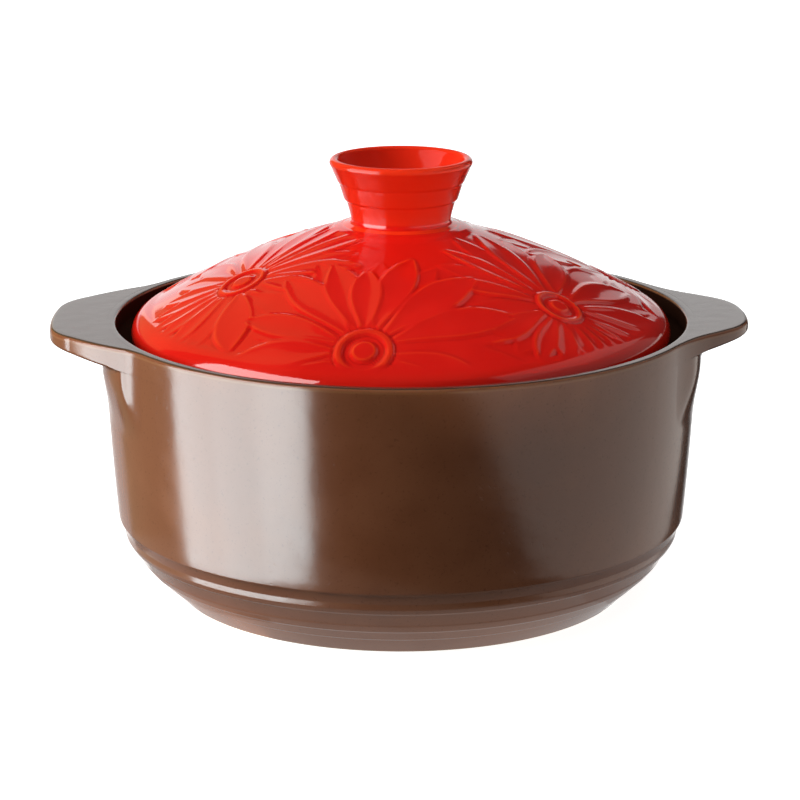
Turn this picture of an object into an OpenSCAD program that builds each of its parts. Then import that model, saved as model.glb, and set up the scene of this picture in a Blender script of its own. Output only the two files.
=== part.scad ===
// Lidded stoneware casserole for braising on the stove: a wheel-turned pot with a
// gallery and two lug handles, and a domed lid with a flared hollow knob and daisies
// in low relief. Millimetres, +Z up. The origin is on the table under the middle of
// the foot, the handles lie along X and the front of the pot looks towards -Y.

/* [Pot] */
// Outside diameter at the rim
rim_d = 242.4; // [230:0.2:262]
// Height from the table to the top of the rim
pot_h = 112.2; // [104:0.2:135]
// Outside diameter at the crisp lower edge of the wall
wall_foot_d = 233; // [225:0.5:245]
// Height of that lower edge above the table
wall_foot_z = 30.8; // [29:0.2:38]
// How far the wall bows out between its lower edge and the rim
wall_bow = 0.6; // [0:0.1:2]
// Thickness of the wall below the gallery
wall_t = 7.5; // [6:0.25:9]
// Thickness of the floor
floor_t = 8; // [6:0.5:12]
// Inside radius where the floor turns up into the wall
bowl_r = 28; // [15:1:32]

/* [Rim and gallery] */
// Thickness of the rim outside the lid
rim_t = 4.8; // [4.2:0.1:6]
// Radius of the rounded lip
lip_r = 2; // [1.2:0.1:2]
// Depth of the ledge that the lid sits on, below the top of the rim
gallery_depth = 9.2; // [7.5:0.1:12]
// Width of the ledge
ledge_w = 13.4; // [11.5:0.1:16]
// Thickness of the ledge at its inner edge
ledge_t = 5; // [3:0.5:7]
// Height over which the underside of the ledge runs back into the wall
ledge_slope_h = 9; // [6:0.5:12]
// Radius in the corner between ledge and rim
gallery_fillet = 2; // [0.5:0.25:2.5]

/* [Foot] */
// Diameter of the foot where it leaves the table
foot_d = 189; // [180:0.5:195]
// Chamfer at the outer edge of the foot
foot_chamfer = 0.6; // [0.3:0.1:1]
// Width of the unglazed ring that stands on the table
foot_ring_w = 13; // [8:0.5:18]
// Depth of the recess inside that ring
foot_recess = 3; // [2:0.5:4.5]
// Height of the lowest turned step
low_step_z = 8; // [6:0.2:9]
// Height of the middle turned step
mid_step_z = 12.6; // [11:0.2:16]
// Height of the upper turned step
top_step_z = 22; // [19:0.2:24]
// How far the upper turned step lies in from the lower edge of the wall
top_step_in = 3; // [2:0.1:5]
// How far each turned step stands out over the one below
step_w = 0.7; // [0.3:0.1:1]
// How far the foot bows out between the table and the upper step
foot_bow = 1.8; // [0.5:0.1:2.4]
// Height of the plain band above the upper step
band_h = 6; // [4:0.2:7]
// How far the top of that band lies in from the lower edge of the wall
band_in = 1.9; // [0.8:0.1:2.8]

/* [Handles] */
// How far each handle stands out from the rim
handle_reach = 22; // [16:0.2:28]
// Width at the end, measured as if its corners were sharp
handle_w = 43; // [38:1:50]
// Angle between each side of the handle and the line across the pot
handle_side_a = 36; // [34:0.2:40]
// Radius of the end in plan
handle_end_r = 73; // [60:1:90]
// Radius of the corners in plan
handle_corner_r = 20; // [12:0.5:24]
// Radius of the hollow sweep from each side into the rim
handle_sweep_r = 85; // [60:1:100]
// Thickness at the end
handle_end_t = 5.4; // [4.4:0.2:7]
// Thickness where the handle meets the rim
handle_root_t = 9; // [8:0.2:12]
// Rounding of the upper and lower edges
handle_edge_r = 1.8; // [0.8:0.1:2]
// How far the bracket under the handle stands out from the wall
bracket_t = 1.7; // [0.6:0.1:2.5]
// Width of the bracket at its top
bracket_w = 106; // [80:1:110]
// Width of the bracket at its foot, where it dies away into the wall
bracket_foot_w = 98; // [60:1:108]
// Height from the foot of the bracket to the top of the rim
bracket_h = 37; // [26:1:44]
// Radius of the hollow sweep from the bracket into the handle
bracket_sweep_r = 7; // [3:0.5:9]

/* [Lid] */
// Gap all round between the edge of the lid and the rim
lid_gap = 6.2; // [4.5:0.1:8]
// Clearance between the lid's locating flange and the ledge
flange_clearance = 1.5; // [0.8:0.1:3]
// Height of the flange below the lid's seat
flange_h = 8; // [5:0.5:12]
// Thickness of the flange
flange_t = 5.5; // [4:0.25:7]
// Radius under the edge of the lid, from its seat to its widest line
edge_r = 3.2; // [2:0.1:4]
// Radius of the shoulder above the widest line
shoulder_r = 10; // [7:0.5:14]
// Radius of the dome in section
crown_r = 350; // [300:5:450]
// Height of the dome above the seat, at the knob
dome_h = 47.2; // [40:0.2:56]
// Thickness of the dome
lid_t = 6.5; // [5:0.25:8]
// Radius inside, between flange and dome
lid_fillet = 8; // [4:0.5:12]
// Diameter of the steam vent
vent_d = 5.5; // [4.5:0.1:8]
// Distance of the vent from the shoulder
vent_in = 34.7; // [28:0.1:40]

/* [Knob] */
// Diameter of the knob's stem just above the lid
knob_foot_d = 40.6; // [36:0.2:44]
// Radius of the hollow sweep from the stem into the dome
knob_fillet = 2.6; // [1.5:0.1:3.5]
// Height of the knob above the flat that it stands on
knob_h = 27.2; // [24:0.2:33]
// Outside diameter at the lip
knob_lip_d = 58; // [54:0.2:64]
// Height of the lower turned step above the flat
knob_low_z = 10.6; // [8:0.1:12]
// Height of the upper turned step above the flat
knob_high_z = 17.6; // [15:0.1:19]
// Radius of the stem just under the lower step
knob_low_r = 22.3; // [21.6:0.1:23]
// Radius of the knob just under the upper step
knob_high_r = 25.1; // [24.4:0.1:26]
// How far each turned step stands out
knob_step = 1; // [0.4:0.1:1.3]
// Thickness of the knob's wall at the lip
knob_lip_t = 5; // [4:0.2:6]
// Depth of the hollow from the lip
knob_cup_h = 20; // [14:0.5:21]
// Radius at the bottom of the hollow
knob_cup_r = 13; // [10:0.5:15]

/* [Daisies] */
// How far the daisies stand out from the dome
relief_h = 0.9; // [0.4:0.1:1.5]
// Number of petals on each daisy
petals = 16; // [10:1:20]
// Length of the longest petals, from the middle of the daisy
petal_len = 60; // [40:1:66]
// How much shorter every third petal is
petal_short = 8; // [0:0.5:15]
// Greatest width of a petal
petal_w = 12.5; // [7:0.5:14]
// Outside diameter of the ring in the middle
ring_d = 23; // [16:0.5:26]
// Width of that ring
ring_w = 3.4; // [2:0.2:5]
// Diameter of the button inside the ring
button_d = 10.5; // [6:0.5:13]
// Gap between the ring and the petals, and round a daisy that lies over another
groove_w = 1.4; // [0.8:0.1:2.5]

/* [Hidden] */
$fn = 180;

brown = "#6b4630";
orange_red = "#dc241a";

// Where each daisy lies: angle round the lid, and distance in from the shoulder.
// The first, third and fifth lie over their neighbours.
DAISIES = [[-103, 9.5], [-46.3, 24], [12, 12], [72, 30], [132, 12], [-158.5, 34.8]];

// Points along an arc about c, from angle a to angle b, in n steps
function arc(c, r, a, b, n) =
    [for (i = [0 : n]) c + r * [cos(a + (b - a) * i / n), sin(a + (b - a) * i / n)]];

turn_steps = 6;      // steps in a quarter of a small turned round
wall_steps = 8;      // steps up the bowed wall

// Radii and heights of the pot that other pieces share
rim_r = rim_d / 2;
gallery_r = rim_r - rim_t;
ledge_z = pot_h - gallery_depth;
ledge_r = gallery_r - ledge_w;
lip_z = pot_h - lip_r;
floor_z = foot_recess + floor_t;
top_step_r = wall_foot_d / 2 - top_step_in;

// Radius of the foot's bowed side at height z
function foot_r(z) = foot_d / 2 + (top_step_r - foot_d / 2) * z / top_step_z
    + 4 * foot_bow * (z / top_step_z) * (1 - z / top_step_z);
// Radius of the wall's bowed outside at height z
function wall_r(z) = let(t = (z - wall_foot_z) / (lip_z - wall_foot_z))
    wall_foot_d / 2 + (rim_r - wall_foot_d / 2) * t + 4 * wall_bow * t * (1 - t);
// One turned step: the lower radius first, then the band that stands out over it
function turned_step(z) = [[foot_r(z) - step_w, z], [foot_r(z), z]];

// Outside of the pot in section, from the foot up to the top of the lip
pot_outside = concat(
    [[foot_d / 2 - foot_chamfer, 0], [foot_d / 2, foot_chamfer]],
    turned_step(low_step_z),
    turned_step(mid_step_z),
    turned_step(top_step_z),
    [[wall_foot_d / 2 - band_in, top_step_z + band_h]],
    [for (i = [0 : wall_steps])
        let(z = wall_foot_z + (lip_z - wall_foot_z) * i / wall_steps) [wall_r(z), z]],
    arc([rim_r - lip_r, lip_z], lip_r, 90 / turn_steps, 90, turn_steps - 1));

// Inside of the pot in section, from the top of the lip down to the middle of the floor
bowl_top_r = wall_r(floor_z + bowl_r) - wall_t;
pot_inside = concat(
    arc([gallery_r + lip_r, lip_z], lip_r, 90, 180, turn_steps),
    arc([gallery_r - gallery_fillet, ledge_z + gallery_fillet], gallery_fillet, 0, -90, 4),
    [[ledge_r, ledge_z], [ledge_r, ledge_z - ledge_t],
        [wall_r(ledge_z - ledge_t - ledge_slope_h) - wall_t, ledge_z - ledge_t - ledge_slope_h]],
    arc([bowl_top_r - bowl_r, floor_z + bowl_r], bowl_r, 0, -90, 2 * turn_steps),
    [[0, floor_z]]);

// Underside of the pot in section, from the middle out to the foot ring
foot_ring_r = foot_d / 2 - foot_ring_w;
pot_underside = [[0, foot_recess], [foot_ring_r - foot_recess, foot_recess], [foot_ring_r, 0]];

module pot_body() {
    color(brown)
    rotate_extrude()
    polygon(concat(pot_underside, pot_outside, pot_inside));
}

// All that lies inside the pot's outer surface. A handle is cut to it, as wet clay is
// pressed on, and the cut runs straight up from the top of the lip.
module pot_envelope() {
    above = pot_h + handle_root_t;
    rotate_extrude()
    polygon(concat([[0, 0]], pot_outside, [[rim_r - lip_r, above], [0, above]]));
}

// Plan of a handle on the +X side. The end, the corners, the sides and the sweeps
// meet in tangent, so an outline that lies in by "inset" only changes their radii.
handle_u = rim_r + handle_reach;
side_normal_a = 90 - handle_side_a;
side_offset = handle_u * cos(side_normal_a) + handle_w / 2 * sin(side_normal_a);
end_centre = handle_u - handle_end_r;
end_a = side_normal_a - acos((side_offset - handle_corner_r - end_centre * cos(side_normal_a))
    / (handle_end_r - handle_corner_r));
corner_centre = [end_centre, 0] + (handle_end_r - handle_corner_r) * [cos(end_a), sin(end_a)];
sweep_a = side_normal_a
    - acos((side_offset + handle_sweep_r) / (rim_r + handle_sweep_r));
sweep_centre = (rim_r + handle_sweep_r) * [cos(sweep_a), sin(sweep_a)];
root_depth = wall_t;          // how far the uncut handle reaches inside the rim

function half_plan(inset) = let(
        sweep = arc(sweep_centre, -handle_sweep_r - inset, sweep_a, side_normal_a, 7),
        corner = arc(corner_centre, handle_corner_r - inset, side_normal_a, end_a, 4),
        end = arc([end_centre, 0], handle_end_r - inset, end_a, end_a / 8, 4))
    concat([sweep[0] - [root_depth, 0]], sweep, corner, [for (i = [1 : 4]) end[i]]);

// Thickness at a point of the plan: it grows steadily from the end to the rim
function handle_t(p) = handle_end_t
    + (handle_root_t - handle_end_t) * (handle_u - norm(p)) / handle_reach;

edge_steps = 3;
// The rings of the lug, from its top face round the edges to its underside. Each entry
// is the inset, the drop from the top face and the share of the thickness.
LUG_RINGS = concat(
    [for (i = [0 : edge_steps]) let(a = 90 * i / edge_steps)
        [handle_edge_r * (1 - sin(a)), handle_edge_r * (1 - cos(a)), 0]],
    [for (i = [0 : edge_steps]) let(a = 90 * i / edge_steps)
        [handle_edge_r * (1 - cos(a)), -handle_edge_r * (1 - sin(a)), 1]]);

// The lug as it is pressed in its mould, before it is cut to the pot
module lug() {
    half = len(half_plan(0));
    count = 2 * half;
    rings = len(LUG_RINGS);
    points = [for (ring = LUG_RINGS)
        let(side = half_plan(ring[0]))
        for (i = [0 : count - 1])
            let(p = i < half ? side[i] : side[count - 1 - i],
                v = i < half ? p[1] : -p[1])
            [p[0], v, pot_h - ring[1] - ring[2] * handle_t(p)]];
    walls = [for (k = [0 : rings - 2], i = [0 : count - 1])
        let(j = (i + 1) % count)
        [k * count + i, (k + 1) * count + i, (k + 1) * count + j, k * count + j]];
    caps = [for (i = [0 : half - 2])
        let(j = count - 1 - i)
        each [[i, i + 1, j - 1, j],
            [(rings - 1) * count + j, (rings - 1) * count + j - 1,
                (rings - 1) * count + i + 1, (rings - 1) * count + i]]];
    polyhedron(points, concat(walls, caps), convexity = 6);
}

bracket_sweep_a = 75;         // how far the sweep under the lug turns

// The bracket under the lug: a broad raised pad that grows out of the wall and sweeps
// into the underside of the lug, and never reaches past the lug's own sides.
module bracket() {
    foot_z = pot_h - bracket_h;
    lug_z = pot_h - handle_root_t;
    top_z = lug_z + handle_edge_r;
    sweep_z = lug_z - bracket_sweep_r;
    pad_r = wall_r(sweep_z) + bracket_t;
    inner_r = wall_r(foot_z) - wall_t;
    depth = pad_r + bracket_sweep_r;
    side = half_plan(handle_edge_r);
    intersection() {
        rotate_extrude()
        polygon(concat(
            [[inner_r, foot_z], [wall_r(foot_z), foot_z], [pad_r, sweep_z]],
            arc([pad_r + bracket_sweep_r, sweep_z], -bracket_sweep_r, 0, -bracket_sweep_a,
                turn_steps),
            [[pad_r + bracket_sweep_r, top_z], [inner_r, top_z]]));
        rotate([90, 0, 90])
        linear_extrude(height = depth)
        polygon([[-bracket_foot_w / 2, foot_z], [bracket_foot_w / 2, foot_z],
            [bracket_w / 2, sweep_z], [bracket_w / 2, top_z],
            [-bracket_w / 2, top_z], [-bracket_w / 2, sweep_z]]);
        translate([0, 0, foot_z])
        linear_extrude(height = bracket_h)
        polygon(concat([[0, 0]], side, [for (i = [len(side) - 1 : -1 : 0]) [side[i][0], -side[i][1]]]));
    }
}

module handle() {
    color(brown)
    difference() {
        union() {
            lug();
            bracket();
        }
        pot_envelope();
    }
}

module handle_right() {
    handle();
}

module handle_left() {
    rotate([0, 0, 180])
    handle();
}

// Section of the lid. The edge, the shoulder and the dome are arcs that meet in
// tangent, and the dome ends at the flat that the knob stands on.
seat_z = ledge_z;
lid_r = gallery_r - lid_gap;
flange_r = ledge_r - flange_clearance;
edge_z = seat_z + edge_r;
shoulder_c = [lid_r - shoulder_r, edge_z];
flat_r = knob_foot_d / 2 + knob_fillet + groove_w;
flat_p = [flat_r, seat_z + dome_h];
// Centre of the dome's arc: crown_r from the edge of the flat, and tangent to the shoulder
span = shoulder_c - flat_p;
along = (norm(span) ^ 2 + crown_r ^ 2 - (crown_r - shoulder_r) ^ 2) / (2 * norm(span));
across = sqrt(crown_r ^ 2 - along ^ 2);
crown_c = flat_p + along * span / norm(span) + across * [span[1], -span[0]] / norm(span);
shoulder_a = atan2(shoulder_c[1] - crown_c[1], shoulder_c[0] - crown_c[0]);
shoulder_p = crown_c + crown_r * [cos(shoulder_a), sin(shoulder_a)];
crown_steps = 5;

// Height of the dome at radius r, or of a like surface that stands out from it
function dome_z(r, out = 0) = crown_c[1] + sqrt((crown_r + out) ^ 2 - (r - crown_c[0]) ^ 2);
// Angle of the dome's arc, at the point that stands "out" from it at radius r
function dome_a(r, out = 0) = acos((r - crown_c[0]) / (crown_r + out));

flange_in_r = flange_r - flange_t;
lid_fillet_c = [flange_in_r - lid_fillet, dome_z(flange_in_r - lid_fillet, -lid_t - lid_fillet)];
lid_fillet_a = dome_a(flange_in_r - lid_fillet, -lid_t - lid_fillet);
ceiling_r = knob_cup_r;
flange_chamfer = 1;

// Outside of the lid in section, as if it were solid down to the flange
lid_outside = concat(
    [[0, flat_p[1]]],
    arc(crown_c, crown_r, dome_a(flat_r), shoulder_a, crown_steps),
    arc(shoulder_c, shoulder_r, shoulder_a - shoulder_a / turn_steps, 0, turn_steps - 1),
    arc([lid_r - edge_r, edge_z], edge_r, -90 / turn_steps, -90, turn_steps - 1),
    [[flange_r, seat_z],
        [flange_r, seat_z - flange_h + flange_chamfer],
        [flange_r - flange_chamfer, seat_z - flange_h],
        [0, seat_z - flange_h]]);

// The hollow under the lid in section, open below the flange
lid_hollow = concat(
    [[0, seat_z - flange_h - flange_t], [flange_in_r + flange_chamfer, seat_z - flange_h - flange_t],
        [flange_in_r + flange_chamfer, seat_z - flange_h],
        [flange_in_r, seat_z - flange_h + flange_chamfer]],
    arc(lid_fillet_c, lid_fillet, 0, lid_fillet_a, turn_steps),
    arc(crown_c, crown_r - lid_t, lid_fillet_a, dome_a(ceiling_r, -lid_t), crown_steps),
    [[0, dome_z(ceiling_r, -lid_t)]]);

leaf_steps = 7;      // steps along each side of a petal
leaf_fullness = 1.25; // over 1, the petal is widest beyond its middle

// A petal along +X, from "near" to "far": two curved sides that meet in points
module leaf(near, far, w) {
    side = [for (i = [0 : leaf_steps])
        [near + (far - near) * i / leaf_steps,
            w / 2 * sin(180 * pow(i / leaf_steps, leaf_fullness))]];
    polygon(concat(side, [for (i = [leaf_steps - 1 : -1 : 1]) [side[i][0], -side[i][1]]]));
}

// Petals of one daisy in plan. "grow" draws them larger all round.
module petal_plan(grow = 0) {
    for (i = [0 : petals - 1])
        rotate(i * 360 / petals)
        leaf(ring_d / 2 + groove_w - grow,
            petal_len - (i % 3 == 1 ? petal_short : 0) + grow,
            petal_w + 2 * grow);
}

module ring_plan() {
    difference() {
        circle(ring_d / 2);
        circle(ring_d / 2 - ring_w);
    }
    circle(button_d / 2);
}

// Puts a plan drawn about the middle of daisy k in its place on the lid
module at_daisy(k) {
    rotate(DAISIES[k][0])
    translate([shoulder_p[0] - DAISIES[k][1], 0])
    children();
}

// The daisies in plan, and between the knob and the shoulder only. Those that lie
// under are cut back round those that lie over them.
module daisy_plan() {
    intersection() {
        union() {
            for (k = [0 : 2 : 4])
                at_daisy(k) {
                    petal_plan();
                    ring_plan();
                }
            difference() {
                for (k = [1 : 2 : 5])
                    at_daisy(k) {
                        petal_plan();
                        ring_plan();
                    }
                for (k = [0 : 2 : 4])
                    at_daisy(k) {
                        petal_plan(groove_w);
                        circle(ring_d / 2 + groove_w);
                    }
            }
        }
        difference() {
            circle(shoulder_p[0] - groove_w);
            circle(flat_r + groove_w);
        }
    }
}

// The dome as it would be if the daisies covered it all
module raised_dome() {
    rotate_extrude()
    polygon(concat(
        [[0, seat_z], [0, flat_p[1]]],
        arc(crown_c, crown_r + relief_h, dome_a(flat_r), shoulder_a, crown_steps),
        [[shoulder_c[0], seat_z]]));
}

module daisies() {
    intersection() {
        translate([0, 0, edge_z])
        linear_extrude(height = dome_h + relief_h)
        daisy_plan();
        raised_dome();
    }
}

// Vent drilled square to the dome, on the line of the handles
vent_r = shoulder_p[0] - vent_in;
module vent() {
    translate([vent_r, 0, dome_z(vent_r)])
    rotate([0, 90 - dome_a(vent_r), 0])
    cylinder(h = 4 * lid_t, d = vent_d, center = true);
}

module lid_dome() {
    color(orange_red)
    difference() {
        union() {
            rotate_extrude()
            polygon(lid_outside);
            daisies();
        }
        rotate_extrude()
        polygon(lid_hollow);
        vent();
    }
}

// Section of the knob, from its foot on the flat of the lid
knob_z = seat_z + dome_h;
knob_foot_r = knob_foot_d / 2;
lip_c_r = knob_lip_d / 2 - knob_lip_t / 2;
knob_lip_r = knob_lip_t / 2;
knob_lip_z = knob_h - knob_lip_r;
knob_lean = 15;               // lean of the knob's lip, out from upright
cup_lean = 20;                // lean of the side of its hollow
cup_fillet = 6;
knob_section = concat(
    [[0, 0]],
    arc([knob_foot_r + knob_fillet, knob_fillet], knob_fillet, -90, -180, turn_steps),
    [[knob_low_r, knob_low_z], [knob_low_r + knob_step, knob_low_z],
        [knob_high_r, knob_high_z], [knob_high_r + knob_step, knob_high_z]],
    arc([lip_c_r, knob_lip_z], knob_lip_r, -knob_lean, 180 - knob_lean, 2 * turn_steps),
    arc([knob_cup_r - cup_fillet, knob_h - knob_cup_h + cup_fillet], cup_fillet,
        -cup_lean, -90, turn_steps),
    [[0, knob_h - knob_cup_h]]);

module lid_knob() {
    color(orange_red)
    translate([0, 0, knob_z])
    rotate_extrude()
    polygon(knob_section);
}

pot_body();
handle_left();
handle_right();
lid_dome();
lid_knob();
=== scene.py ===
import bpy
import math
import numpy as np
from mathutils import Matrix, Vector


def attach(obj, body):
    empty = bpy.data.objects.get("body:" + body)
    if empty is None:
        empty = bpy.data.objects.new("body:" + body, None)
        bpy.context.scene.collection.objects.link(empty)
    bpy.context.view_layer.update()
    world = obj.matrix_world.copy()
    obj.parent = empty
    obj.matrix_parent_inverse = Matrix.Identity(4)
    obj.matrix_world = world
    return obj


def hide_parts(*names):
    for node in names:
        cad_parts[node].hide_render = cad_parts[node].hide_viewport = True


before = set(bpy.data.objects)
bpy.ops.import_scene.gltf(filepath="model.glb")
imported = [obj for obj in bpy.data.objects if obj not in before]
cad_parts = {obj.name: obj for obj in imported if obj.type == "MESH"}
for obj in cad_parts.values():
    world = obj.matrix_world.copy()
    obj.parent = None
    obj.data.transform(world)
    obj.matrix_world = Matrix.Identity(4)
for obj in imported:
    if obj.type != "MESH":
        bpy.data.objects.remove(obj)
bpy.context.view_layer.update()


# The pot
# One piece of stoneware, thrown on the wheel and turned at the foot. Its brown glaze
# runs inside and out and stops short of the ring that it stands on. The ledge that
# carries the lid and the inside of the rim are painted nearly black, as painted shade.

def arc(centre, radius, start, end, steps):
    """Points of an arc in section, from one angle to another in degrees."""
    turns = [math.radians(start + (end - start) * i / steps) for i in range(steps + 1)]
    return [(centre[0] + radius * math.cos(a), centre[1] + radius * math.sin(a)) for a in turns]


def softened(corners, steps=4):
    """A section through the given corners, each a point and the radius that rounds it."""
    section = []
    for i, (r, z, radius) in enumerate(corners):
        here = Vector((r, z))
        if radius <= 0 or i in (0, len(corners) - 1):
            section.append((r, z))
            continue
        back = Vector(corners[i - 1][:2]) - here
        ahead = Vector(corners[i + 1][:2]) - here
        half = back.angle(ahead) / 2
        reach = min(radius / math.tan(half), 0.49 * back.length, 0.49 * ahead.length)
        first = here + back.normalized() * reach
        last = here + ahead.normalized() * reach
        for k in range(steps + 1):
            t = k / steps
            section.append(tuple(first * (1 - t) ** 2 + here * (2 * t * (1 - t)) + last * t ** 2))
    return section


def piece_from(name, points_mm, faces, sharp=32):
    """A smooth-shaded piece from points in millimetres, sharp where it turns hard."""
    mesh = bpy.data.meshes.new(name)
    points = np.asarray(points_mm, dtype=float) * 0.001
    mesh.from_pydata(points.tolist(), [], faces)
    mesh.validate()
    mesh.shade_smooth()
    mesh.set_sharp_from_angle(angle=math.radians(sharp))
    piece = bpy.data.objects.new(name, mesh)
    bpy.context.scene.collection.objects.link(piece)
    return piece


def turned(name, section, columns, sharp=32):
    """A piece turned about Z. The section starts and ends on the axis."""
    rows = section[1:-1]
    turns = [2 * math.pi * i / columns for i in range(columns)]
    points = [(r * math.cos(a), r * math.sin(a), z) for r, z in rows for a in turns]
    faces = []
    for k in range(len(rows) - 1):
        for i in range(columns):
            j = (i + 1) % columns
            faces.append((k * columns + i, k * columns + j,
                          (k + 1) * columns + j, (k + 1) * columns + i))
    first, last = len(points), len(points) + 1
    points += [(0, 0, section[0][1]), (0, 0, section[-1][1])]
    end = (len(rows) - 1) * columns
    for i in range(columns):
        j = (i + 1) % columns
        faces.append((first, j, i))
        faces.append((last, end + i, end + j))
    return piece_from(name, points, faces, sharp)


rim_r, rim_z = 121.18, 112.2
gallery_r, ledge_z, ledge_r = 116.4, 103.0, 103.0
lip_r = 1.4
wall_foot_z = 30.9
wall_t, floor_z = 7.5, 11.0


def wall_r(z):
    """Outside radius of the wall: nearly upright at the rim, drawn in towards the foot."""
    drop = np.maximum(108.0 - z, 0)
    return rim_r - 0.0201 * drop - 0.000426 * drop ** 2


wall_foot_r = float(wall_r(wall_foot_z))
foot_section = softened([
    (0, 3, 0), (78.5, 3, 1.5), (81.5, 0, 0.6), (94.2, 0, 0.9),
    (101.2, 7.2, 0.3), (102.4, 7.9, 0.7), (106.3, 12.0, 0.5), (107.2, 12.6, 0.8),
    (109.3, 15.4, 0.8), (109.6, 16.2, 0.6), (112.7, 21.3, 0.6), (113.9, 22.1, 0.5),
    (114.75, 23.9, 2.0), (114.9, 26.4, 2.5), (115.9, 30.1, 0.5),
    (wall_foot_r - 0.3, 30.4, 0.3), (wall_foot_r, wall_foot_z + 0.3, 0.4),
    (float(wall_r(34.0)), 34.0, 0)], 3)
wall_section = [(float(wall_r(z)), z) for z in np.linspace(36.0, rim_z - lip_r - 1.0, 38)]
rim_section = (arc((rim_r - lip_r, rim_z - lip_r), lip_r, 0, 90, 8)
               + arc((gallery_r + lip_r, rim_z - lip_r), lip_r, 90, 180, 8)
               + arc((gallery_r - 2, ledge_z + 2), 2, 0, -90, 6))
bowl_r = 28.0
bowl_c = (float(wall_r(floor_z + bowl_r)) - wall_t - bowl_r, floor_z + bowl_r)
bowl_section = (softened([(gallery_r - 3, ledge_z, 0), (ledge_r, ledge_z, 1.2),
                          (ledge_r, ledge_z - 5, 1.5),
                          (float(wall_r(89)) - wall_t, 89, 8),
                          (float(wall_r(84)) - wall_t, 80, 0)])
                + [(float(wall_r(z)) - wall_t, z) for z in np.linspace(74, 44, 8)]
                + arc(bowl_c, bowl_r, 0, -90, 14) + [(40, floor_z), (0, floor_z)])
pot = turned("pot", foot_section + wall_section + rim_section + bowl_section, 480)


def shader(material):
    """The nodes and links of a new material, and its Principled shader."""
    material.use_nodes = True
    tree = material.node_tree
    return tree.nodes, tree.links, tree.nodes["Principled BSDF"]


def place(nodes, links):
    """The point on the object, in metres, as a vector and as three numbers."""
    coords = nodes.new("ShaderNodeTexCoord")
    split = nodes.new("ShaderNodeSeparateXYZ")
    links.new(coords.outputs["Object"], split.inputs[0])
    return coords.outputs["Object"], split.outputs


def sums(nodes, links, how, first, second, third=None):
    """One step of arithmetic on sockets or numbers."""
    step = nodes.new("ShaderNodeMath")
    step.operation = how
    for slot, value in enumerate((first, second, third)):
        if value is None:
            continue
        if isinstance(value, (int, float)):
            step.inputs[slot].default_value = value
        else:
            links.new(value, step.inputs[slot])
    return step.outputs[0]


def from_axis(nodes, links, xyz):
    """How far a point lies from the pot's axis."""
    square = sums(nodes, links, "MULTIPLY", xyz[1], xyz[1])
    square = sums(nodes, links, "MULTIPLY_ADD", xyz[0], xyz[0], square)
    return sums(nodes, links, "SQRT", square, 0)


def noise(nodes, links, where, scale, detail=3.0, rough=0.5):
    """Noise of the given number of waves to a metre."""
    cloud = nodes.new("ShaderNodeTexNoise")
    cloud.inputs["Scale"].default_value = scale
    cloud.inputs["Detail"].default_value = detail
    cloud.inputs["Roughness"].default_value = rough
    links.new(where, cloud.inputs["Vector"])
    return cloud.outputs["Fac"]


def spread(nodes, links, value, low, high, to_low=0.0, to_high=1.0):
    """A value turned from one range to another, softly, and held at its ends."""
    ranged = nodes.new("ShaderNodeMapRange")
    ranged.interpolation_type = "SMOOTHSTEP"
    for slot, number in zip(("From Min", "From Max", "To Min", "To Max"),
                            (low, high, to_low, to_high)):
        ranged.inputs[slot].default_value = number
    links.new(value, ranged.inputs["Value"])
    return ranged.outputs["Result"]


def band(nodes, links, value, start, full, fade, end):
    """One where a value lies between full and fade, and nothing before start or past end."""
    return sums(nodes, links, "MULTIPLY", spread(nodes, links, value, start, full),
                spread(nodes, links, value, end, fade))


def blend(nodes, links, amount, below, above):
    """Two colours mixed, each a socket or a colour."""
    mixed = nodes.new("ShaderNodeMix")
    mixed.data_type = "RGBA"
    for slot, value in ((0, amount), (6, below), (7, above)):
        if isinstance(value, (int, float)):
            mixed.inputs[slot].default_value = value
        elif isinstance(value, tuple):
            mixed.inputs[slot].default_value = (*value, 1)
        else:
            links.new(value, mixed.inputs[slot])
    return mixed.outputs[2]


def bare_clay(nodes, links, where):
    """The grain and the colour of the stoneware where no glaze covers it."""
    grain = noise(nodes, links, where, 1500, 3, 0.65)
    return grain, blend(nodes, links, spread(nodes, links, grain, 0.4, 0.62),
                        (0.50, 0.36, 0.24), (0.62, 0.47, 0.33))


def bump(nodes, links, height, depth, strength, under=None):
    """A raised surface, laid over another one if there is one."""
    raised = nodes.new("ShaderNodeBump")
    raised.inputs["Strength"].default_value = strength
    raised.inputs["Distance"].default_value = depth
    links.new(height, raised.inputs["Height"])
    if under is not None:
        links.new(under, raised.inputs["Normal"])
    return raised.outputs[0]


brown_glaze = bpy.data.materials.new("brown_glaze")
nodes, links, glaze = shader(brown_glaze)
where, xyz = place(nodes, links)
radius = from_axis(nodes, links, xyz)
cloudy = noise(nodes, links, where, 26, 4)
brown = blend(nodes, links, spread(nodes, links, cloudy, 0.38, 0.64),
              (0.258, 0.088, 0.036), (0.299, 0.107, 0.045))
specks = noise(nodes, links, where, 900, 2, 0.6)
brown = blend(nodes, links, spread(nodes, links, specks, 0.60, 0.72, 0, 0.35), brown,
              (0.12, 0.036, 0.015))
# The glaze runs thin and turns golden in a fine line below the lip
near_lip = band(nodes, links, xyz[2], 0.1100, 0.1104, 0.1108, 0.1112)
brown = blend(nodes, links, sums(nodes, links, "MULTIPLY", near_lip, 0.3), brown,
              (0.42, 0.19, 0.07))
# Painted shade: inside the rim and on the ledge the glaze is painted nearly black, so the gap
# under the lid reads dark
painted_gap_shade = sums(nodes, links, "MULTIPLY", band(nodes, links, xyz[2], 0.0975, 0.0990, 0.1110, 0.1118),
             band(nodes, links, radius, 0.1020, 0.1024, 0.1172, 0.1180))
brown = blend(nodes, links, painted_gap_shade, brown, (0.028, 0.012, 0.007))
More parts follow.
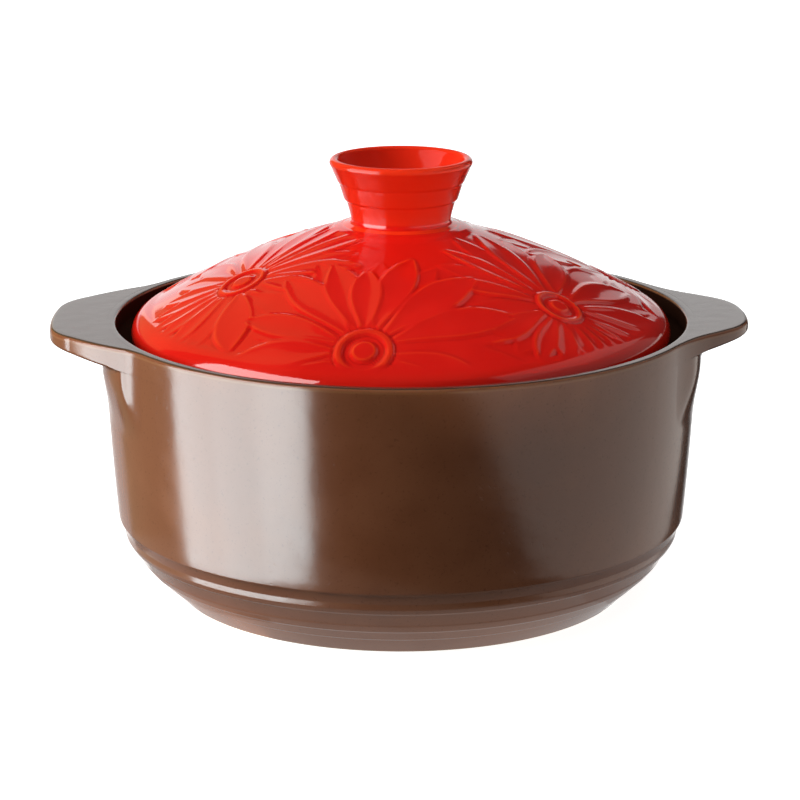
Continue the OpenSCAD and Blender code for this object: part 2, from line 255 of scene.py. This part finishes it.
# The flat tops of the handles are coloured a darker brown, and their gloss keeps the strokes of
# the brush
on_top = sums(nodes, links, "MULTIPLY", spread(nodes, links, xyz[2], 0.1117, 0.1120),
              spread(nodes, links, radius, 0.1164, 0.1170))
turned_to = sums(nodes, links, "ARCTAN2", xyz[1], xyz[0])
ray = nodes.new("ShaderNodeCombineXYZ")
links.new(turned_to, ray.inputs[0])
links.new(sums(nodes, links, "MULTIPLY", radius, 4), ray.inputs[1])
strokes = noise(nodes, links, ray.outputs[0], 26, 2, 0.5)
brown = blend(nodes, links, on_top, brown, (0.070, 0.035, 0.022))
# The ring that it stands on has no glaze
bare = spread(nodes, links, xyz[2], 0.0007, 0.0003)
grain, clay = bare_clay(nodes, links, where)
links.new(blend(nodes, links, bare, brown, clay), glaze.inputs["Base Color"])
dull = sums(nodes, links, "MULTIPLY", bare, 0.85)
sheen = spread(nodes, links, cloudy, 0.35, 0.65, 0.14, 0.18)
streaky = spread(nodes, links, strokes, 0.35, 0.65, 0.16, 0.20)
sheen = sums(nodes, links, "MAXIMUM", sheen, sums(nodes, links, "MULTIPLY", on_top, streaky))
# The painted shade inside the rim also has no gloss
links.new(spread(nodes, links, painted_gap_shade, 0, 1, 0.5, 0.0), glaze.inputs["Specular IOR Level"])
links.new(sums(nodes, links, "MAXIMUM", sheen, dull), glaze.inputs["Roughness"])
glaze.inputs["IOR"].default_value = 1.52
ripple = bump(nodes, links, noise(nodes, links, where, 130, 2, 0.4), 0.0004, 0.12)
pits = spread(nodes, links, noise(nodes, links, where, 620, 2, 0.5), 0.66, 0.74, 1.0, 0.0)
pitted = bump(nodes, links, pits, 0.0002, 0.12, ripple)
rough_clay = sums(nodes, links, "MULTIPLY", bare, grain)
links.new(bump(nodes, links, sums(nodes, links, "ADD", specks, rough_clay), 0.0001, 0.06, pitted),
          glaze.inputs["Normal"])

pot.data.materials.append(brown_glaze)
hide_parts("pot_body")
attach(pot, "pot")


# The two handles
# Flat lugs of the same clay, pressed in a mould and luted on flush with the rim. Each
# sweeps down under itself and in at its sides into a low pad on the wall, and the glaze
# runs over the join.

pad_mid, pad_low_z, pad_high_z, pad_blend = 0.4, 73.0, 99.0, 1.0
pad_from_a, pad_full_a = 2, 19
skin_t, sink_t, sink_from_a, sink_to_a = 0.03, 0.10, 36, 40
under_edge_r, under_hollow_r, join_drop, hair = 1.5, 7.0, 7.0, 0.01


def ease(t):
    """From 0 to 1 without a corner at either end."""
    t = np.clip(t, 0, 1)
    return t * t * (3 - 2 * t)


class Lug:
    """One handle: its plan from reach, width and side angle, and its thickness."""

    def __init__(self, reach, half_w, side_a, end_r, corner_r, sweep_r, end_t, root_t, edge_r,
                 pad_side):
        self.tip_r = rim_r + reach
        self.end_t, self.root_t, self.edge_r, self.pad_side = end_t, root_t, edge_r, pad_side
        self.rise = math.atan((root_t - end_t) / reach)
        side = math.radians(90 - side_a)
        side_out = self.tip_r * math.cos(side) + half_w * math.sin(side)
        end_c = self.tip_r - end_r
        corner = side - math.acos((side_out - corner_r - end_c * math.cos(side))
                                  / (end_r - corner_r))
        corner_c = (end_c + (end_r - corner_r) * math.cos(corner),
                    (end_r - corner_r) * math.sin(corner))
        root = side - math.acos((side_out + sweep_r) / (rim_r + sweep_r))
        sweep_c = ((rim_r + sweep_r) * math.cos(root), (rim_r + sweep_r) * math.sin(root))
        plan = np.array(arc((end_c, 0), end_r, 0, math.degrees(corner), 30)
                        + arc(corner_c, corner_r, math.degrees(corner), math.degrees(side), 30)
                        + arc(sweep_c, -sweep_r, math.degrees(side), math.degrees(root), 40))
        self.turns = np.degrees(np.arctan2(plan[:, 1], plan[:, 0]))
        self.radii = np.hypot(plan[:, 0], plan[:, 1])

    def stand(self, angle):
        """How far it stands out from the rim at an angle from its own middle line."""
        out = np.interp(abs(angle), self.turns, self.radii, right=rim_r)
        return float(max(out - rim_r, 0))

    def under(self, r):
        """Height of its underside, which rises towards the end."""
        return rim_z - self.end_t - (self.tip_r - r) * math.tan(self.rise)

    def pad(self, angle, z):
        """How far the pad under it stands out from the wall: most along the two sides."""
        climb = float(ease((z - pad_low_z) / (pad_high_z - pad_low_z)))
        aside = float(ease((abs(angle) - pad_from_a) / (pad_full_a - pad_from_a)))
        pad, stand = (pad_mid + (self.pad_side - pad_mid) * aside) * climb, self.stand(angle)
        return max((pad + stand - math.hypot(pad - stand, pad_blend)) / 2, 0.0)


def lug_column(lug, angle):
    """Section of a handle at one angle, a closed ring of the same number of points."""
    skin = skin_t - sink_t * float(ease((abs(angle) - sink_from_a) / (sink_to_a - sink_from_a)))
    stand = lug.stand(angle)
    out = rim_r + stand + skin * (1 - min(stand / 5, 1))
    top = rim_z + skin
    upper = lip_r + (lug.edge_r - lip_r) * float(ease(stand / 4))
    inner_r = rim_r - lip_r + 0.1
    join_z = rim_z - lug.root_t - join_drop
    pad = lug.pad(angle, join_z)
    free = max(stand - pad, 0.0)
    lower = min(under_edge_r, 0.4 * free + hair)
    hollow = max(min(under_hollow_r, 0.6 * free, free - lower - 2 * hair), hair)
    ring = [(r, top) for r in np.linspace(inner_r, out - upper, 9)[:-1]]
    ring += arc((out - upper, top - upper), upper, 90, 0, 8)
    lower_z = lug.under(out - lower) + lower / math.cos(lug.rise)
    ring += [(out, z) for z in np.linspace(top - upper, lower_z, 6)[1:-1]]
    ring += arc((out - lower, lower_z), lower, 0, math.degrees(lug.rise) - 90, 6)
    hollow_r = float(wall_r(join_z)) + skin + pad + hollow
    hollow_z = lug.under(hollow_r) - hollow / math.cos(lug.rise)
    turn = arc((hollow_r, hollow_z), hollow, 90 + math.degrees(lug.rise), 180, 9)
    (from_r, from_z), (to_r, to_z) = ring[-1], turn[0]
    ring += [(from_r + (to_r - from_r) * t, from_z + (to_z - from_z) * t)
             for t in np.linspace(0, 1, 8)[1:-1]]
    ring += turn[:-1]
    low = pad_low_z - 2.0
    ring += [(float(wall_r(z)) + skin + lug.pad(angle, z), z)
             for z in hollow_z + (low - hollow_z) * np.linspace(0, 1, 24)]
    ring += [(float(wall_r(z)) - 1.0, z) for z in np.linspace(low, 106.0, 8)]
    ring += [(inner_r, 108.5)]
    return ring


# The left handle is fuller than the right one, as hand work leaves them
right_lug = Lug(20.87, 20.5, 42.2, 83.8, 27.7, 87.0, 4.3, 7.7, 2.0, 3.0)
left_lug = Lug(21.74, 27.0, 41.9, 162.8, 28.4, 47.0, 5.6, 9.8, 1.8, 3.6)
lug_angles = np.concatenate([np.linspace(-sink_to_a, -14.0, 84), np.linspace(-13.6, 13.6, 56),
                             np.linspace(14.0, sink_to_a, 84)])
for name, shape, turn, node in (("handle_right_lug", right_lug, 0.0, "handle_right"),
                                ("handle_left_lug", left_lug, 180.0, "handle_left")):
    rings = [lug_column(shape, a) for a in lug_angles]
    count = len(rings[0])
    points = [(r * math.cos(math.radians(a + turn)), r * math.sin(math.radians(a + turn)), z)
              for a, ring in zip(lug_angles, rings) for r, z in ring]
    faces = []
    for k in range(len(rings) - 1):
        for i in range(count):
            j = (i + 1) % count
            faces.append((k * count + i, k * count + j, (k + 1) * count + j, (k + 1) * count + i))
    faces.append(tuple(range(count - 1, -1, -1)))
    faces.append(tuple(range((len(rings) - 1) * count, len(rings) * count)))
    handle = piece_from(name, points, faces, 50)
    handle.data.materials.append(brown_glaze)
    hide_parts(node)
    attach(handle, "pot")


# The lid
# A dome of the same clay with six large daisies pressed into it in low relief and a
# steam vent. Its orange-red glaze is thick and glassy, and stops at the seat, which is
# left bare so that it can't stick to the ledge.

crown_c, crown_r = (-74.234, -185.644), 350.0
shoulder_c, shoulder_r, shoulder_end = (100.2, 106.2), 10.0, 105.33
flat_r, flat_z = 24.3, 150.2
lid_t = 6.5


def dome_z(r, out=0.0):
    """Height of the plain dome, or of a surface that lies further out or in."""
    return crown_c[1] + np.sqrt((crown_r + out) ** 2 - (r - crown_c[0]) ** 2)


petal_edge, petal_floor = 2.2, 0.4


def petal_half(t, width):
    """Half the width of a petal at a share of its length."""
    return width / 2 * np.sin(math.pi * np.clip(t, 0, 1) ** 1.35) ** 0.8


def add_petal(height, x, y, daisy, angle, length, width, top):
    """Lays one dished petal over what is there already."""
    cx, cy, ring = daisy
    a = math.radians(angle)
    along = (x - cx) * math.cos(a) + (y - cy) * math.sin(a)
    across = -(x - cx) * math.sin(a) + (y - cy) * math.cos(a)
    start, step = ring * 0.7, 1e-3
    t = np.clip((along - start) / (length - start), step, 1 - step)
    half = petal_half(t, width)
    lean = (petal_half(t + step, width) - half) / (step * (length - start))
    inside = (half - np.abs(across)) / np.sqrt(1 + lean ** 2)
    inside = np.where((along < start) | (along > length), -9.0, inside)
    mask = ease(inside / petal_edge + 0.5)
    dish = np.clip(np.abs(across) / np.maximum(half, 1.0), 0, 1) ** 2
    return height * (1 - mask) + top * (petal_floor + (1 - petal_floor) * dish) * mask


def add_centre(height, x, y, daisy, top):
    """The raised ring and the button in the middle of a daisy."""
    cx, cy, ring = daisy
    away = np.hypot(x - cx, y - cy)
    bed = ease((ring + 0.9 - away) / 1.5)
    height = height * (1 - bed) + 0.1 * bed
    ridge = ease((away - ring * 0.62) / 1.8) * ease((ring + 0.4 - away) / 1.8)
    button = ease((ring * 0.46 + 0.4 - away) / 1.8)
    return np.maximum(height, top * np.maximum(ridge, button))


def daisy_at(angle, r, ring):
    """Middle of a daisy in the plan of the lid, with the radius of its ring."""
    a = math.radians(angle)
    return (r * math.cos(a), r * math.sin(a), ring)


low_petal, high_petal, ground = 0.5, 1.05, -0.7
FRONT = daisy_at(-102.4, 95.9, 12.0)
RIGHT = daisy_at(-44.5, 81.3, 9.8)
LEFT = daisy_at(-157.6, 70.4, 10.0)
# Each petal: its direction in degrees, its length and its width in millimetres
FRONT_UNDER = [(129, 68, 12), (56, 56, 12), (148, 50, 11), (104, 60, 14), (10, 55, 12),
               (355, 66, 13), (176, 36, 11), (79, 52, 12)]
FRONT_OVER = [(166, 54, 15), (195, 40, 12), (214, 32, 9), (142, 56, 12), (117, 60, 15),
              (99, 55, 14), (342, 47, 13), (67, 57, 14.5), (20, 63.5, 15), (42, 62, 16),
              (85, 46.5, 12.5), (324, 36, 10), (306, 28, 8), (234, 26, 8), (270, 20, 8)]
RIGHT_UNDER = [(138, 54, 10), (166, 48, 10), (204, 44, 10), (108, 52, 12), (68, 56, 13),
               (40, 54, 12), (240, 40, 10), (8, 50, 10)]
RIGHT_OVER = [(152, 50, 8), (180, 46, 8), (122, 54, 12), (90, 50, 14), (54, 57, 13),
              (24, 60, 14), (350, 44, 8), (336, 40, 7), (322, 38, 7), (307, 36, 7),
              (290, 34, 8), (270, 36, 9), (252, 38, 9), (226, 44, 11)]
LEFT_UNDER = [(60, 58, 11), (18, 54, 9), (352, 46, 9), (300, 44, 11), (238, 44, 11), (92, 50, 12)]
LEFT_OVER = [(46, 58, 11), (8, 56, 10), (30, 60, 9), (340, 50, 9), (318, 40, 10), (282, 46, 10),
             (262, 48, 15), (222, 42, 9), (204, 38, 9), (188, 38, 9), (170, 36, 9), (150, 36, 10),
             (128, 40, 11), (108, 48, 12), (78, 54, 12)]
even_petals = 15
lid_turn = math.radians(2.35)


def relief(x, y):
    """Height of the daisies above the plain dome, with the ground cut back between them."""
    x, y = (x * math.cos(lid_turn) + y * math.sin(lid_turn),
            y * math.cos(lid_turn) - x * math.sin(lid_turn))
    height = np.zeros_like(x)
    for angle, r, ring, turn, length in ((12, 93, 11.5, 4, 58), (72, 75, 10, 11, 52),
                                         (132, 93, 11.5, 7, 58)):
        daisy = daisy_at(angle, r, ring)
        for i in range(even_petals):
            height = add_petal(height, x, y, daisy, turn + 360 * (i + 0.5) / even_petals,
                               length - 5 + 3 * (i % 3), 11, low_petal)
        for i in range(even_petals):
            height = add_petal(height, x, y, daisy, turn + 360 * i / even_petals,
                               length - 4 * (i % 2), 13.5, high_petal)
        height = add_centre(height, x, y, daisy, high_petal)
    for daisy, under, over in ((LEFT, LEFT_UNDER, LEFT_OVER), (RIGHT, RIGHT_UNDER, RIGHT_OVER),
                               (FRONT, FRONT_UNDER, FRONT_OVER)):
        for angle, length, width in under:
            height = add_petal(height, x, y, daisy, angle, length, width, low_petal)
        for angle, length, width in over:
            height = add_petal(height, x, y, daisy, angle, length, width, high_petal)
        height = add_centre(height, x, y, daisy, high_petal)
    r = np.hypot(x, y)
    return (height + ground) * ease((105.2 - r) / 4.0) * ease((r - 26.5) / 4.0)


def lid_ring(r, z, columns):
    """One plain ring of the lid."""
    a = np.arange(columns) * 2 * math.pi / columns
    return np.stack([r * np.cos(a), r * np.sin(a), np.full(columns, z)], 1)


def relief_ring(r, columns):
    """One ring of the dome, raised square to its surface by the daisies."""
    a = np.arange(columns) * 2 * math.pi / columns
    out = relief(r * np.cos(a), r * np.sin(a))
    tilt = (r - crown_c[0]) / crown_r
    raised_r = r + out * tilt
    z = dome_z(r) + out * math.sqrt(1 - tilt ** 2)
    return np.stack([raised_r * np.cos(a), raised_r * np.sin(a), z], 1)


few, many, plain = 432, 864, 216
lid_rings = [lid_ring(r, flat_z, few) for r in (6, 14, 20, 23.6)]
lid_rings += [relief_ring(r, few) for r in np.linspace(flat_r, 52.0, 37)]
lid_rings += [relief_ring(r, many) for r in np.linspace(52.75, shoulder_end, 71)]
shoulder_a = math.degrees(math.atan2(shoulder_c[1] - crown_c[1], shoulder_c[0] - crown_c[0]))
lid_rings += [lid_ring(r, z, many) for r, z in arc(shoulder_c, shoulder_r, shoulder_a, 0, 9)[1:]]
seat_r, edge_round = 107.0, 3.2
flange_r, flange_in_r, flange_z = 101.5, 96.0, 95.0
fillet = 8.0
fillet_r = flange_in_r - fillet
fillet_z = float(dome_z(fillet_r, -lid_t - fillet))
fillet_end = math.degrees(math.atan2(fillet_z - crown_c[1], fillet_r - crown_c[0]))
under = arc((seat_r, ledge_z + edge_round), edge_round, -15, -90, 6)
under += softened([(seat_r - 0.5, ledge_z, 0), (flange_r, ledge_z, 0.5), (flange_r, flange_z, 1.2),
                   (flange_in_r, flange_z, 1.2), (flange_in_r, flange_z + 5, 0)])
under += arc((fillet_r, fillet_z), fillet, 0, fillet_end, 8)
under += [(r, float(dome_z(r, -lid_t))) for r in np.linspace(fillet_r, 13, 12)]
lid_rings += [lid_ring(r, z, plain) for r, z in under]

points = np.concatenate(lid_rings)
starts = np.cumsum([0] + [len(ring) for ring in lid_rings])
faces = []
for k in range(len(lid_rings) - 1):
    upper, lower = len(lid_rings[k]), len(lid_rings[k + 1])
    a0, b0 = int(starts[k]), int(starts[k + 1])
    if upper == lower:
        faces += [(a0 + i, b0 + i, b0 + (i + 1) % lower, a0 + (i + 1) % upper)
                  for i in range(upper)]
    elif upper < lower:
        share = lower // upper
        for i in range(upper):
            fan = [b0 + (i * share + s) % lower for s in range(share + 1)]
            ahead = a0 + (i + 1) % upper
            faces += [(a0 + i, fan[s], fan[s + 1]) for s in range(share // 2)]
            faces.append((a0 + i, fan[share // 2], ahead))
            faces += [(ahead, fan[s], fan[s + 1]) for s in range(share // 2, share)]
    else:
        share = upper // lower
        for i in range(lower):
            fan = [a0 + (i * share + s) % upper for s in range(share + 1)]
            ahead = b0 + (i + 1) % lower
            faces += [(b0 + i, fan[s + 1], fan[s]) for s in range(share // 2)]
            faces.append((b0 + i, ahead, fan[share // 2]))
            faces += [(ahead, fan[s + 1], fan[s]) for s in range(share // 2, share)]
faces.append(tuple(range(few)))
end = int(starts[-2])
faces.append(tuple(range(end + plain - 1, end - 1, -1)))
lid = piece_from("lid", points, faces, 50)

# The steam vent is drilled square to the dome
vent_r, vent_d = 70.6, 5.5
vent_tilt = math.asin((vent_r - crown_c[0]) / crown_r)
cutter = turned("vent_cutter", [(0, -12), (vent_d / 2, -12), (vent_d / 2, -0.9),
                                (vent_d / 2 + 0.8, 0.3), (vent_d / 2 + 0.8, 6), (0, 6)], 48)
cutter.matrix_world = (Matrix.Translation((vent_r * 0.001, 0, float(dome_z(vent_r)) * 0.001))
                       @ Matrix.Rotation(vent_tilt, 4, "Y"))
cut = lid.modifiers.new("vent", "BOOLEAN")
cut.operation = "DIFFERENCE"
cut.object = cutter
cut.solver = "MANIFOLD"
bpy.context.view_layer.update()
graph = bpy.context.evaluated_depsgraph_get()
drilled = bpy.data.meshes.new_from_object(lid.evaluated_get(graph))
lid.modifiers.clear()
lid.data = drilled
bpy.data.objects.remove(cutter)

red_glaze = bpy.data.materials.new("orange_red_glaze")
nodes, links, glaze = shader(red_glaze)
where, xyz = place(nodes, links)
cloudy = noise(nodes, links, where, 18, 3)
red = blend(nodes, links, spread(nodes, links, cloudy, 0.36, 0.64),
            (0.70, 0.009, 0.005), (0.77, 0.013, 0.007))
# It runs off the ridges of the petals, which fire orange, and gathers in the grooves
shape_of = nodes.new("ShaderNodeNewGeometry").outputs["Pointiness"]
red = blend(nodes, links, spread(nodes, links, shape_of, 0.505, 0.535, 0, 0.8), red,
            (0.84, 0.045, 0.008))
red = blend(nodes, links, spread(nodes, links, shape_of, 0.495, 0.465, 0, 0.8), red,
            (0.46, 0.003, 0.003))
# Painted light: the knob is painted brighter and more orange than the dome, standing in for light
# it doesn't get
on_knob = spread(nodes, links, xyz[2], 0.1525, 0.1535, 0, 0.6)
red = blend(nodes, links, on_knob, red, (0.80, 0.036, 0.010))
axis_r = from_axis(nodes, links, xyz)
# The seat and the flange have none
bare = sums(nodes, links, "MULTIPLY", band(nodes, links, xyz[2], 0.0945, 0.0949, 0.1030, 0.1033),
            band(nodes, links, axis_r, 0.0966, 0.0972, 0.1066, 0.1072))
clay = bare_clay(nodes, links, where)[1]
links.new(blend(nodes, links, bare, red, clay), glaze.inputs["Base Color"])
links.new(sums(nodes, links, "MAXIMUM", spread(nodes, links, cloudy, 0.35, 0.65, 0.06, 0.10),
               sums(nodes, links, "MULTIPLY", bare, 0.85)), glaze.inputs["Roughness"])
glaze.inputs["IOR"].default_value = 1.52
# Inside the knob's cup it is dry
in_cup = sums(nodes, links, "MULTIPLY", spread(nodes, links, xyz[2], 0.1570, 0.1574),
              spread(nodes, links, sums(nodes, links, "SUBTRACT", xyz[2],
                                        sums(nodes, links, "MULTIPLY", axis_r, 1.4)),
                     0.1378, 0.1390))
knob_and_cup_gloss_cut = sums(nodes, links, "MAXIMUM", in_cup, on_knob)
links.new(spread(nodes, links, knob_and_cup_gloss_cut, 0, 1, 0.5, 0.05), glaze.inputs["Specular IOR Level"])
links.new(bump(nodes, links, noise(nodes, links, where, 110, 2, 0.4), 0.0004, 0.12),
          glaze.inputs["Normal"])

lid.data.materials.clear()
lid.data.materials.append(red_glaze)
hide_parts("lid_dome")
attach(lid, "lid")


# The knob
# A flared, hollow knob, thrown apart and luted to the crown of the lid. Two turned
# steps run round its stem, and the glaze fills the corner at its foot.

knob_section = (softened([(0, flat_z, 0), (23.7, flat_z, 0), (20.7, 151.2, 1.4), (20.25, 152.4, 2),
                          (20.9, 155.4, 4), (22.2, 160.0, 1.2), (23.2, 160.8, 1.4),
                          (25.2, 167.2, 1.6), (25.9, 168.2, 1.8), (28.7, 174.6, 0)], 5)
                + arc((27.1, 175.5), 1.9, -15, 165, 12)
                + softened([(25.0, 175.1, 0), (15.6, 160.6, 9), (10, 157.4, 6), (0, 157.4, 0)], 8))
knob = turned("knob", knob_section, 240, 50)
knob.data.materials.append(red_glaze)
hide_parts("lid_knob")
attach(knob, "lid")


# The studio
# A white table, a large soft light on the left, a weaker one on the right and a white
# backdrop behind. The panels that the glaze mirrors are kept apart from the lights that
# shade it, so that each can have its own strength.

scene = bpy.context.scene
scene.view_settings.view_transform = "Standard"

camera_yaw = -1.65
camera = bpy.data.objects.new("camera", bpy.data.cameras.new("camera"))
camera.data.lens, camera.data.sensor_width = 123.96, 36.0
camera.location = (-0.03208, -1.09953, 0.37075)
camera.rotation_euler = (math.radians(74.99), 0, math.radians(camera_yaw))
camera.data.clip_end = 50
scene.collection.objects.link(camera)
scene.camera = camera

floor = bpy.data.objects.new("floor", bpy.data.meshes.new("floor"))
floor.data.from_pydata([(-8, -8, 0), (8, -8, 0), (8, 8, 0), (-8, 8, 0)], [], [(0, 1, 2, 3)])
scene.collection.objects.link(floor)
white_table = bpy.data.materials.new("white_table")
nodes, links, matt = shader(white_table)
matt.inputs["Base Color"].default_value = (0.8, 0.8, 0.8, 1)
matt.inputs["Roughness"].default_value = 0.9
matt.inputs["Specular IOR Level"].default_value = 0.0
glow = nodes.new("ShaderNodeEmission")
glow.inputs["Strength"].default_value = 0.90
both = nodes.new("ShaderNodeAddShader")
links.new(matt.outputs[0], both.inputs[0])
links.new(glow.outputs[0], both.inputs[1])


def white_for_camera(nodes, links, plain, seen, output):
    """The camera sees one shader, and every other ray meets the plain one."""
    rays = nodes.new("ShaderNodeLightPath")
    chosen = nodes.new("ShaderNodeMixShader")
    links.new(rays.outputs["Is Camera Ray"], chosen.inputs[0])
    links.new(plain.outputs[0], chosen.inputs[1])
    links.new(seen.outputs[0], chosen.inputs[2])
    links.new(chosen.outputs[0], nodes[output].inputs["Surface"])


white_for_camera(nodes, links, matt, both, "Material Output")
floor.data.materials.append(white_table)
floor.visible_glossy = False
floor.visible_diffuse = False
floor.visible_shadow = False

world = bpy.data.worlds.new("studio")
scene.world = world
world.use_nodes = True
nodes, links = world.node_tree.nodes, world.node_tree.links
dim = nodes["Background"]
dim.inputs["Color"].default_value = (1, 1, 1, 1)
dim.inputs["Strength"].default_value = 0.03
white = nodes.new("ShaderNodeBackground")
white.inputs["Strength"].default_value = 1.0
white_for_camera(nodes, links, dim, white, "World Output")
panel_z = 0.07


def panel(name, bearing, distance, left, right, low, high, brightness, mirrored,
          colour=(1, 1, 1)):
    """A flat light that faces the pot. The bearing is 0 behind the pot and grows to the
    right; left, right, low and high are the panel's edges in degrees from the pot."""
    wide = distance * (math.tan(math.radians(right)) - math.tan(math.radians(left)))
    tall = distance * (math.tan(math.radians(high)) - math.tan(math.radians(low)))
    light = bpy.data.lights.new(name, "AREA")
    light.shape = "RECTANGLE"
    light.size, light.size_y = wide, tall
    light.energy = brightness * math.pi * wide * tall
    light.color = colour
    lamp = bpy.data.objects.new(name, light)
    a = math.radians(90 - bearing + camera_yaw)
    aside = distance * (math.tan(math.radians(right)) + math.tan(math.radians(left))) / 2
    up = distance * (math.tan(math.radians(high)) + math.tan(math.radians(low))) / 2
    lamp.location = (distance * math.cos(a) + aside * math.sin(a),
                     distance * math.sin(a) - aside * math.cos(a), panel_z + up)
    lamp.rotation_euler = (math.radians(90), 0, a + math.radians(90))
    lamp.visible_camera = False
    lamp.visible_diffuse = not mirrored
    lamp.visible_glossy = mirrored
    scene.collection.objects.link(lamp)
    return lamp


warm, amber, cool = (1.0, 0.94, 0.88), (1.0, 0.75, 0.25), (0.82, 0.94, 0.97)
panel("mirrored_backdrop", 0, 3.0, -20, 15.5, -26, 28, 1.0, True)
panel("mirrored_backdrop_left", 0, 3.0, -39, -20, -26, 4, 0.6, True)
panel("mirrored_backdrop_right", 0, 3.0, 15.5, 21, -26, 20, 0.55, True)
panel("mirrored_key_front", -114, 2.0, -31, -11, -30, 4, 12.2, True, cool)
panel("mirrored_key_middle", -114, 2.0, -11, 9, -30, 4, 10.5, True, cool)
panel("mirrored_key_back", -114, 2.0, 9, 29, -30, 4, 9.4, True, cool)
panel("mirrored_key_high", -114, 2.0, -29, 29, 4, 43, 7.5, True)
panel("mirrored_left_dim", -62, 2.0, -22, 22, -30, 2, 0.28, True, (1.0, 0.95, 0.6))
panel("mirrored_amber", -36, 2.0, -24, 18, 6, 62, 0.3, True, amber)
panel("mirrored_fill_low", 92, 2.0, -56, 69, -30, 12, 1.02, True, warm)
panel("mirrored_fill_middle", 92, 2.0, -50, 52, 12, 38, 0.25, True, warm)
panel("mirrored_fill_high", 92, 2.0, -56, 40, 38, 58, 0.45, True, warm)
panel("key", -100, 2.2, -22, 22, 8, 46, 7.8, False)
panel("fill", 110, 2.2, -20, 20, -5, 40, 0.6, False, warm)
overhead = panel("overhead", 0, 2.0, -40, 40, -40, 40, 0.65, False)
overhead.location = (0, 0, 2.0)
overhead.rotation_euler = (0, 0, 0)


def table_glow(name, x, y, wide, deep, brightness, mirrored, colour=(1, 1, 1)):
    """Light that the white table throws back up at the foot of the pot."""
    light = bpy.data.lights.new(name, "AREA")
    light.shape = "ELLIPSE"
    light.size, light.size_y = wide, deep
    light.energy = brightness * math.pi * math.pi * wide * deep / 4
    light.color = colour
    lamp = bpy.data.objects.new(name, light)
    lamp.location = (x, y, -0.001)
    lamp.rotation_euler = (math.radians(180), 0, 0)
    lamp.visible_camera = False
    lamp.visible_glossy = mirrored
    scene.collection.objects.link(lamp)


table_glow("table_near", 0, 0, 0.30, 0.30, 0.42, True)
table_glow("table_foot", -0.080, -0.05, 0.18, 0.22, 0.20, True, cool)
table_glow("table_foot_wide", -0.050, -0.05, 0.27, 0.28, 0.16, True, cool)
table_glow("table_left", -0.22, -0.02, 0.36, 0.30, 0.9, False)

# A narrow beam from the front that reaches only the knob
beam_bearing, beam_off, knob_z = 158, 1.6, 0.168
beam = bpy.data.lights.new("knob_beam", "SPOT")
beam.spot_size, beam.spot_blend = math.radians(2.9), 0.3
beam.shadow_soft_size = 0.05
beam.energy = 92
beam.color = (1.0, 0.86, 0.70)
lamp = bpy.data.objects.new("knob_beam", beam)
beam_a = math.radians(90 - beam_bearing + camera_yaw)
lamp.location = (beam_off * math.cos(beam_a), beam_off * math.sin(beam_a), knob_z)
lamp.rotation_euler = (math.radians(90), 0, beam_a + math.radians(90))
lamp.visible_glossy = False
scene.collection.objects.link(lamp)
